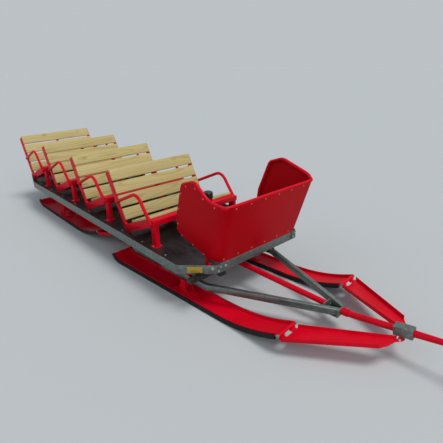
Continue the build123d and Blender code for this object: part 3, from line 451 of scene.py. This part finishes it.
# The rivets' pale pinkish red is a painted highlight standing for the glints on their domed heads.
rivet_red_painted_highlight = red_paint("rivet_red_painted_highlight", (0.70, 0.10, 0.10), (0.80, 0.16, 0.15), 0.5)
bracket_edge = 0.0010
rounded("shield_brackets", bracket_edge, frame_red, "sled", "red_paint")

shield_sheet = 3.0
shield_foot = Vector((635.0, -321.0, 320.0))
shield_left = 512.0
shield_slope = math.tan(math.radians(15.5))
wing_flare = 37.0 / 560.0
rim_tube_radius = 12.5
rim_tube_gap = 0.4
rim_tube_inset = shield_sheet + rim_tube_radius + rim_tube_gap


def shield_front_x(z, inset=0.0):
    """The leaning front's place at a height, or a point behind it."""
    return shield_foot.x + (z - shield_foot.z) * shield_slope - inset / math.cos(math.atan(shield_slope))


def wing_y(side, z, inset=0.0):
    """A flared wing's place at a height: side is -1 on the sled's right and 1 on its left."""
    outer = shield_foot.y if side < 0 else shield_left
    return outer + side * ((z - shield_foot.z) * wing_flare - inset)


def bent_tube(name, corners, radius, material, body, slot, closed=False):
    """A round tube along corners, each with its bend radius in millimetres."""
    # How much longer a smooth curve's bend runs than an arc of the same tightness
    spread = 1.17
    points = []
    count = len(corners)
    for index, (corner, bend) in enumerate(corners):
        corner = Vector(corner)
        if not closed and index in (0, count - 1):
            points.append(corner)
            continue
        before = Vector(corners[index - 1][0]) - corner
        after = Vector(corners[(index + 1) % count][0]) - corner
        turn = math.pi - before.angle(after)
        reach = 2 * spread * bend * math.tan(turn / 2)
        points.append(corner + before.normalized() * min(reach, before.length * 0.5))
        points.append(corner)
        points.append(corner + after.normalized() * min(reach, after.length * 0.5))
    curve = bpy.data.curves.new(name, "CURVE")
    curve.dimensions = "3D"
    curve.bevel_depth = radius / 1000
    curve.bevel_resolution = 6
    curve.resolution_u = 8
    curve.use_fill_caps = not closed
    spline = curve.splines.new("NURBS")
    spline.points.add(len(points) - 1)
    for point, place in zip(spline.points, points):
        point.co = (*from_bench(*place), 1)
    spline.order_u = 3
    spline.use_endpoint_u = not closed
    spline.use_cyclic_u = closed
    path = bpy.data.objects.new(name + "_path", curve)
    bpy.context.collection.objects.link(path)
    bpy.context.view_layer.update()
    shaped = path.evaluated_get(bpy.context.evaluated_depsgraph_get())
    tube_mesh = bpy.data.meshes.new_from_object(shaped)
    bm = bmesh.new()
    bm.from_mesh(tube_mesh)
    bpy.data.objects.remove(path)
    bpy.data.curves.remove(curve)
    bpy.data.meshes.remove(tube_mesh)
    return finished(name, bm, material, body, slot)


# Left wing's upper edge, which slopes gently to the front corner and has no dip: x, z
left_edge = [
    (440.0, 856.5),
    (500.0, 850.0),
    (560.0, 832.0),
    (640.0, 808.0),
    (692.0, 788.0),
    (722.0, 768.0),
    (752.0, 750.0),
]
left_wing_from_y = 470.0
bend_start_x = 691.0
edge_setback = 12.0
edge_foot_z = 460.0
front_top_from = 0.700
sheet_edge_width = (0.0022, 0.0038)
# How far a face's normal leans up or aside: a level face, an edge's face, and one that looks down
level_face = 0.9
edge_face = 0.15
down_face = -0.2


def left_edge_z(x):
    """Height of the left wing's upper edge at a place along the sled."""
    for (near_x, near_z), (far_x, far_z) in zip(left_edge, left_edge[1:]):
        if x <= far_x:
            return near_z + (far_z - near_z) * max(x - near_x, 0) / (far_x - near_x)
    return left_edge[-1][1]


bm = bmesh.new()
bm.from_mesh(frame["nodes"]["front_shield"].data)
bmesh.ops.remove_doubles(bm, verts=bm.verts, dist=same_corner)
bmesh.ops.dissolve_limit(bm, angle_limit=flat_angle, verts=bm.verts, edges=bm.edges)
bm.normal_update()
edge_normals = {}
for face in bm.faces:
    short_edges = [e for e in face.edges if sheet_edge_width[0] < e.calc_length() < sheet_edge_width[1]]
    sheet_edge = len(short_edges) >= 2 and len(face.verts) == 4 and abs(face.normal.y) < edge_face
    flat_top = face.normal.z > level_face and face.calc_center_median().z > front_top_from
    if flat_top or sheet_edge:
        for vert in face.verts:
            edge_normals[vert] = edge_normals.get(vert, Vector()) + face.normal
for vert, normal in edge_normals.items():
    x, y, z = (vert.co - bench_front) * 1000
    outward = normal.normalized()
    if outward.z < down_face or z < edge_foot_z:
        continue
    step = -outward * edge_setback
    if y > left_wing_from_y and x > left_edge[0][0]:
        step = Vector((0, 0, left_edge_z(x) - z - edge_setback))
    if x > bend_start_x:
        step.x = step.z * shield_slope
    else:
        step.y = math.copysign(wing_flare, y) * step.z
    vert.co += step / 1000
finished("shield_sheet", bm, shade_darkened_shield_red, "sled", "deep_red_paint", "front_shield")

# Side view of the tube's centreline from the lower sweep to the front: x, z, bend radius
right_line = [
    (222.0, 443.0, 52.0),
    (232.0, 557.0, 152.0),
    (325.0, 805.0, 42.0),
    (456.0, 848.0, 52.0),
    (583.0, 740.0, 250.0),
]
left_line = [
    (222.0, 443.0, 52.0),
    (232.0, 557.0, 152.0),
    (325.0, 803.0, 42.0),
    (450.0, 849.0, 90.0),
    (690.0, 776.0, 90.0),
]
rim_top_z = 736.0
rim_foot_z = 338.0
right_wing = [((x, wing_y(-1, z, rim_tube_inset), z), bend) for x, z, bend in right_line]
left_wing = [((x, wing_y(1, z, rim_tube_inset), z), bend) for x, z, bend in reversed(left_line)]
top_x = shield_front_x(rim_top_z, rim_tube_inset)
foot_x = shield_front_x(rim_foot_z, rim_tube_inset)
top_corners = [((top_x, wing_y(side, rim_top_z, rim_tube_inset), rim_top_z), 45.0) for side in (-1, 1)]
foot_corners = [
    ((foot_x, wing_y(1, rim_foot_z, rim_tube_inset), rim_foot_z), 55.0),
    ((foot_x, wing_y(-1, rim_foot_z, rim_tube_inset), rim_foot_z), 95.0),
]
rim_corners = right_wing + top_corners + left_wing + foot_corners
bent_tube("shield_rim_tube", rim_corners, rim_tube_radius, frame_red, "sled", "red_paint", closed=True)

front_normal = Vector((1, 0, -shield_slope)).normalized()
rivet_radius = 6.5
rivet_height = 1.4
front_rivet_count = 6
front_rivet_pitch = 133.0
# Height and first place across of the front's two rows
front_rivet_rows = ((724.0, -257.0), (345.0, -270.0))
bm = bmesh.new()
for z, first_y in front_rivet_rows:
    for step in range(front_rivet_count):
        place = from_bench(shield_front_x(z), first_y + step * front_rivet_pitch, z)
        domed_head(bm, place, front_normal, rivet_radius, rivet_height)
wing_rivets = [
    (271.0, 419.0),
    (389.0, 384.0),
    (500.0, 352.0),
    (238.0, 500.0),
    (268.0, 622.0),
    (313.0, 742.0),
]
upper_rivets = {
    -1: [(378.0, 806.0), (476.0, 814.0), (545.0, 760.0), (650.0, 728.0)],
    1: [(378.0, 806.0), (476.0, 834.0), (560.0, 808.0), (650.0, 778.0)],
}
for side in (-1, 1):
    wing_normal = Vector((0, side, -wing_flare)).normalized()
    for x, z in wing_rivets + upper_rivets[side]:
        domed_head(bm, from_bench(x, wing_y(side, z), z), wing_normal, rivet_radius, rivet_height)
finished("shield_rivets", bm, rivet_red_painted_highlight, "sled", "red_paint")

# Capped post behind the shield's right wing
# Painted steel tube welded upright on the floor, with a flat moulded black cap over its top.
cap_black, cap_shader, cap_place = new_material("moulded_black", 0.42)
cap_grain = noise(cap_black, cap_place, 380.0, detail=3.0)
cap_colour = ramp(cap_black, cap_grain, [(0.3, (0.006, 0.006, 0.007)), (0.7, (0.016, 0.016, 0.018))])
feed(cap_black, cap_colour, cap_shader, "Base Color")
bumped(cap_black, cap_shader, cap_grain, 0.12, 0.0004)
coat_nodes(frame_red, "capped_post")
post_x = 441.0
post_y = -220.0
cap_radius = 33.0
cap_top_radius = 31.68
cap_foot = 716.0
cap_height = 40.0
cap_edge = 9.0
cap_middle = from_bench(post_x, post_y, cap_foot + cap_height / 2)
bm = bmesh.new()
bmesh.ops.create_cone(
    bm,
    cap_ends=True,
    segments=48,
    radius1=cap_radius / 1000,
    radius2=cap_top_radius / 1000,
    depth=cap_height / 1000,
    matrix=Matrix.Translation(cap_middle),
)
cap_rims = [e for e in bm.edges if abs(e.calc_face_angle(0)) > shade_angle]
eased(bm, [e for e in cap_rims if e.verts[0].co.z > cap_middle.z], cap_edge / 1000, segments=4)
finished("moulded_cap", bm, cap_black, "sled", "black_plastic", "post_cap")


# Bench frames: front rail on two legs, seat rails, uprights that run to the floor, and bent armrests
# Welded square and round steel tube in bright gloss red, with bolted foot plates.
bench_count = 4
bench_spacing = 720.0
leg_middle_y = 393.0
leg_half = Vector((30.0, 15.0))
leg_depth = leg_half.x * 2
rail_foot_z = 445.0
rail_half_length = 418.0
foot_plate_thick = 6.0
foot_plate_top = floor_top + foot_plate_thick
frame_edge = 0.0022
frame_bolt = 6.0
foot_bolt_aside = 26.0
# Welds: how far each seam stops short of the steel's edge, and its bead's radius
rail_seam_inset = 3.0
rail_seam = 2.4
foot_seam_inset = 2.0
foot_seam = 2.6
foot_seam_half = 14.0
arm_half_width = 12.5
arm_seam_out = 0.8
arm_seam_low = 3.0
arm_seam_high = 37.0
arm_seam = 2.2
# The back's slope and upper front corner, and its boards' middles down the slope
back_tilt = math.radians(27.8)
back_top = Vector((-567.0, 752.0))
back_board_count = 4
first_back_board = 47.5
back_pitch = 111.0
back_depth = 60.0
upright_places = (-408.0, 0.0, 408.0)


def weld_bead(bm, start, end, radius):
    """A weld laid between two points, as a row of overlapping ripples."""
    ripple = radius * 0.0011
    run = end - start
    steps = max(2, int(run.length / ripple))
    for step in range(steps + 1):
        bmesh.ops.create_icosphere(
            bm,
            subdivisions=1,
            radius=radius / 1000,
            matrix=Matrix.Translation(start + run * (step / steps)),
        )


def back_bolt_place(front, down, behind):
    """A point down the slope of a bench's back and behind its front face."""
    x = front + back_top.x + down * math.sin(back_tilt) - behind * math.cos(back_tilt)
    return x, back_top.y - down * math.cos(back_tilt) - behind * math.sin(back_tilt)


welds = bmesh.new()
foot_bolts = bmesh.new()
back_bolts = bmesh.new()
back_normal = Vector((-math.cos(back_tilt), 0, -math.sin(back_tilt)))
for number in range(1, bench_count + 1):
    rounded(f"bench_{number}_frame", frame_edge, frame_red, "sled", "red_paint")
    front = -(number - 1) * bench_spacing
    for side in (-1, 1):
        middle_y = side * leg_middle_y
        for face in (-1, 1):
            weld_y = middle_y + face * leg_half.y
            seam_start = from_bench(front + rail_seam_inset, weld_y, rail_foot_z)
            seam_end = from_bench(front + leg_depth - rail_seam_inset, weld_y, rail_foot_z)
            weld_bead(welds, seam_start, seam_end, rail_seam)
            seam_start = from_bench(front + foot_seam_inset, weld_y, foot_plate_top)
            seam_end = from_bench(front + leg_depth - foot_seam_inset, weld_y, foot_plate_top)
            weld_bead(welds, seam_start, seam_end, foot_seam)
            bolt_seat = from_bench(front + leg_half.x, middle_y + face * foot_bolt_aside, foot_plate_top)
            hex_head(foot_bolts, bolt_seat, up_axis, frame_bolt, front)
            arm_x = front + leg_half.x + face * arm_half_width
            arm_y = side * (rail_half_length + arm_seam_out)
            seam_start = from_bench(arm_x, arm_y, rail_foot_z + arm_seam_low)
            seam_end = from_bench(arm_x, arm_y, rail_foot_z + arm_seam_high)
            weld_bead(welds, seam_start, seam_end, arm_seam)
        seam_start = from_bench(front + leg_depth, middle_y - foot_seam_half, foot_plate_top)
        seam_end = from_bench(front + leg_depth, middle_y + foot_seam_half, foot_plate_top)
        weld_bead(welds, seam_start, seam_end, foot_seam)
    for board in range(back_board_count):
        x, z = back_bolt_place(front, first_back_board + board * back_pitch, back_depth)
        for upright_y in upright_places:
            hex_head(back_bolts, from_bench(x, upright_y, z), back_normal, frame_bolt, board)
finished("bench_welds", welds, frame_red, "sled", "red_paint")
finished("foot_plate_bolts", foot_bolts, bright_zinc, "sled", "bare_steel")
finished("back_board_bolts", back_bolts, bright_zinc, "sled", "bare_steel")


# Bench boards, three to a seat and four to a back
# Planed pine planks, rounded at the edges, greenish from pressure treatment, bolted to the steel frame.
def pine_material(name, shade, shift):
    """Pine with the flame figure of flat-sawn wood along Y, fine fibres, colour drift and a few knots."""
    ring_count = 17.0
    knot_brown = (0.40, 0.27, 0.10)
    heart_brown = (0.13, 0.065, 0.03)
    material, shader, place = new_material(name, 0.60)
    shader.inputs["Specular IOR Level"].default_value = 0.3
    mapping = material.node_tree.nodes.new("ShaderNodeMapping")
    mapping.inputs["Location"].default_value = shift
    material.node_tree.links.new(place, mapping.inputs["Vector"])
    board = mapping.outputs["Vector"]
    contour = noise(material, stretched(material, board, (7.0, 0.55, 7.0)), 1.0, detail=1.5, roughness=0.4)
    count = material.node_tree.nodes.new("ShaderNodeMath")
    count.operation = "MULTIPLY"
    count.inputs[1].default_value = ring_count
    material.node_tree.links.new(contour, count.inputs[0])
    rings = material.node_tree.nodes.new("ShaderNodeMath")
    rings.operation = "FRACT"
    material.node_tree.links.new(count.outputs["Value"], rings.inputs[0])
    early = tuple(c * shade for c in (0.56, 0.445, 0.215))
    late = tuple(c * shade for c in (0.47, 0.345, 0.145))
    ring_stops = [(0.0, early), (0.62, early), (0.90, late), (1.0, early)]
    figure = ramp(material, rings.outputs["Value"], ring_stops)
    fibres = noise(material, stretched(material, board, (150.0, 2.5, 150.0)), 1.0, detail=5.0)
    streaks = ramp(material, fibres, [(0.30, (0.86, 0.84, 0.80)), (0.65, (1.0, 1.0, 1.0))])
    wood = mixed(material, 0.8, figure, streaks, "MULTIPLY")
    drift = noise(material, stretched(material, board, (4.0, 1.4, 4.0)), 1.4, detail=3.0)
    tint = ramp(material, drift, [(0.30, (0.88, 0.93, 0.78)), (0.70, (1.0, 0.98, 0.95))])
    wood = mixed(material, 0.9, wood, tint, "MULTIPLY")
    knots = material.node_tree.nodes.new("ShaderNodeTexVoronoi")
    knots.inputs["Scale"].default_value = 1.0
    material.node_tree.links.new(stretched(material, board, (8.0, 3.4, 8.0)), knots.inputs["Vector"])
    halo = ramp(material, knots.outputs["Distance"], [(0.07, (1.0, 1.0, 1.0)), (0.16, (0.0, 0.0, 0.0))])
    wood = mixed(material, halo, wood, tuple(c * shade for c in knot_brown))
    heart = ramp(material, knots.outputs["Distance"], [(0.045, (1.0, 1.0, 1.0)), (0.075, (0.0, 0.0, 0.0))])
    feed(material, mixed(material, heart, wood, heart_brown), shader, "Base Color")
    feed(material, fitted(material, fibres, 0.3, 0.7, 0.70, 0.52), shader, "Roughness")
    bumped(material, shader, fibres, 0.25, 0.0008)
    return material


pines = [
    pine_material("planed_pine_a", 1.00, (0.0, 0.3, 0.0)),
    pine_material("planed_pine_b", 0.93, (3.1, 1.7, 5.2)),
    pine_material("planed_pine_c", 1.05, (7.4, 4.1, 2.6)),
    pine_material("planed_pine_d", 0.88, (1.9, 6.3, 8.8)),
]
seat_tilt = math.radians(22.0)
rail_top_z = 485.0
first_seat_board = 46.0
seat_board_count = 3
seat_pitch = 104.0
board_edge = 0.0045


def planks(node, number, seat):
    """The boards of a seat or back with rounded edges, each plank with its own piece of wood."""
    piece = rounded(node, board_edge, pines[0], "sled", "pine", segments=3)
    for pine in pines[1:]:
        piece.data.materials.append(pine)
    front = from_bench(-(number - 1) * bench_spacing, 0, 0).x
    for face in piece.data.polygons:
        ahead = (front - face.center.x) * 1000
        high = face.center.z * 1000
        if seat:
            along = ahead * math.cos(seat_tilt) + (rail_top_z - high) * math.sin(seat_tilt)
            plank = round((along - first_seat_board) / seat_pitch)
        else:
            along = (-back_top.x - ahead) * math.sin(back_tilt) + (back_top.y - high) * math.cos(back_tilt)
            plank = round((along - first_back_board) / back_pitch) + seat_board_count
        # Neighbouring planks and benches take different woods
        face.material_index = (plank * 3 + number * 2 + plank // 2) % len(pines)


for number in range(1, bench_count + 1):
    planks(f"bench_{number}_seat_boards", number, True)
    planks(f"bench_{number}_back_boards", number, False)

# Skis of both bogies with their soles, saddles and blocks
# Folded sheet steel channels painted red, on black polyethylene soles that wrap up round their sides.
folded_edge = 0.0010
ski_pairs = (("front", "front_bogie"), ("rear", "sled"))
for pair, body in ski_pairs:
    for side in ("left", "right"):
        rounded(f"{pair}_ski_{side}", folded_edge, frame_red, body, "red_paint")
coat_nodes(frame_red, "front_saddles", "rear_saddles", "front_foot_blocks", "rear_foot_blocks")

sole_black, sole_shader, sole_place = new_material("black_sole", 0.55)
sole_shader.inputs["Specular IOR Level"].default_value = 0.2
sole_scratches = noise(sole_black, stretched(sole_black, sole_place, (4.0, 90.0, 90.0)), 3.0, detail=6.0)
sole_colour = ramp(
    sole_black,
    sole_scratches,
    [(0.40, (0.004, 0.004, 0.005)), (0.72, (0.016, 0.016, 0.017))],
)
feed(sole_black, sole_colour, sole_shader, "Base Color")
feed(sole_black, fitted(sole_black, sole_scratches, 0.3, 0.7, 0.42, 0.68), sole_shader, "Roughness")
bumped(sole_black, sole_shader, sole_scratches, 0.15, 0.0006)
coat_nodes(sole_black, "front_soles", "rear_soles")

# Links from the ski tips in to the drawbar, and the yokes that hold their tongues
# Shallow trays folded from sheet steel, painted red, on hinge pins at the ski tips and bolted at the nose.
steer_rest = math.radians(4.0)
steer_turn = Matrix.Rotation(steer_rest, 4, "Z")


def on_bogie(x, y, z):
    """A point on the front bogie, which stands turned by its rest angle about the king pin."""
    arm = Vector((x / 1000 - king_pin_from_bench, y / 1000, z / 1000))
    return Vector((king_pin.x, king_pin.y, 0)) + (steer_turn @ arm)


for pair, body in ski_pairs:
    for side in ("left", "right"):
        rounded(f"{pair}_link_{side}", folded_edge, frame_red, body, "red_paint")
coat_nodes(frame_red, "front_yoke", "rear_yoke", "rear_anchor")

front_hinge_x = 1180.0
rear_hinge_x = -875.0
hinge_z = 119.8
ski_middle_y = 365.0
barrel_radius = 10.5
barrel_half = 62.0
barrel_edge = 0.0015
for name, body, hinge_x, placed in (
    ("front_hinge_barrels", "front_bogie", front_hinge_x, on_bogie),
    ("rear_hinge_barrels", "sled", rear_hinge_x, from_bench),
):
    bm = bmesh.new()
    for ski_y in (-ski_middle_y, ski_middle_y):
        near = placed(hinge_x, ski_y - barrel_half, hinge_z)
        far = placed(hinge_x, ski_y + barrel_half, hinge_z)
        along = (far - near).to_track_quat("Z", "Y").to_matrix().to_4x4()
        barrel = bmesh.ops.create_cone(
            bm,
            cap_ends=True,
            segments=32,
            radius1=barrel_radius / 1000,
            radius2=barrel_radius / 1000,
            depth=(far - near).length,
            matrix=Matrix.Translation((near + far) / 2) @ along,
        )
        ends = {e for v in barrel["verts"] for e in v.link_edges if e.calc_face_angle(0) > shade_angle}
        eased(bm, list(ends), barrel_edge)
    finished(name, bm, frame_red, body, "red_paint")

nose_bolt_place = Vector((1697.0, 46.0, 135.2))
nose_bolt_size = 8.0
nose_bolt_turn = 0.3
bm = bmesh.new()
for side in (-1, 1):
    place = on_bogie(nose_bolt_place.x, side * nose_bolt_place.y, nose_bolt_place.z)
    hex_head(bm, place, up_axis, nose_bolt_size, nose_bolt_turn * side)
finished("link_nose_bolts", bm, bright_zinc, "front_bogie", "bare_steel")

# A-frame of the front bogie with the plates at its apex
# Galvanised box tube, cut to a slant and welded to a bolted apex.
beam_edge = 0.0030
apex_plate_edge = 0.0010
rounded("a_frame_beams", beam_edge, zinc, "front_bogie", "galvanised")
rounded("apex_plates", apex_plate_edge, zinc, "front_bogie", "galvanised")

# Drawbar with its strut, the square sleeve over it and the tow eye
# Thick round tube in red paint, tapering to a forged eye; the sleeve is galvanised and pinched by bolts.
coat_nodes(frame_red, "drawbar", "drawbar_strut", "tow_eye")
sleeve_edge = 0.0040
rounded("drawbar_sleeve", sleeve_edge, zinc, "front_bogie", "galvanised", segments=3)

# Bogie beams and turntable under the deck
# Welded box and plate in red paint; the turntable rings, king pin and hinge pins are turned steel, greasy.
coat_nodes(frame_red, "front_bolster", "rear_bolster", "turntable_plate", "rear_side_beams")
steel, steel_shader, steel_place = new_material("bare_steel", 0.36, metallic=1.0)
steel_marks = noise(steel, stretched(steel, steel_place, (14.0, 14.0, 150.0)), 4.0, detail=6.0)
steel_colour = ramp(steel, steel_marks, [(0.3, (0.20, 0.19, 0.18)), (0.7, (0.40, 0.39, 0.37))])
feed(steel, steel_colour, steel_shader, "Base Color")
feed(steel, fitted(steel, steel_marks, 0.3, 0.7, 0.28, 0.50), steel_shader, "Roughness")
coat_nodes(steel, "turntable_upper", "turntable_lower", "front_hinge_pins", "rear_hinge_pins")

# Reflector on the cut corner
# Yellow moulded acrylic with small prisms behind a smooth face, screwed on at both ends.
amber, amber_shader, amber_place = new_material("yellow_reflector", 0.18, coat=0.6)
prisms = amber.node_tree.nodes.new("ShaderNodeTexVoronoi")
prisms.inputs["Scale"].default_value = 240.0
prisms.inputs["Randomness"].default_value = 0.0
amber.node_tree.links.new(amber_place, prisms.inputs["Vector"])
amber_colour = ramp(
    amber,
    prisms.outputs["Distance"],
    [(0.1, (0.60, 0.36, 0.008)), (0.6, (0.34, 0.20, 0.005))],
)
feed(amber, amber_colour, amber_shader, "Base Color")
bumped(amber, amber_shader, prisms.outputs["Distance"], 0.4, 0.001)
reflector_edge = 0.0020
rounded("reflector", reflector_edge, amber, "sled", "yellow_reflector", segments=3)
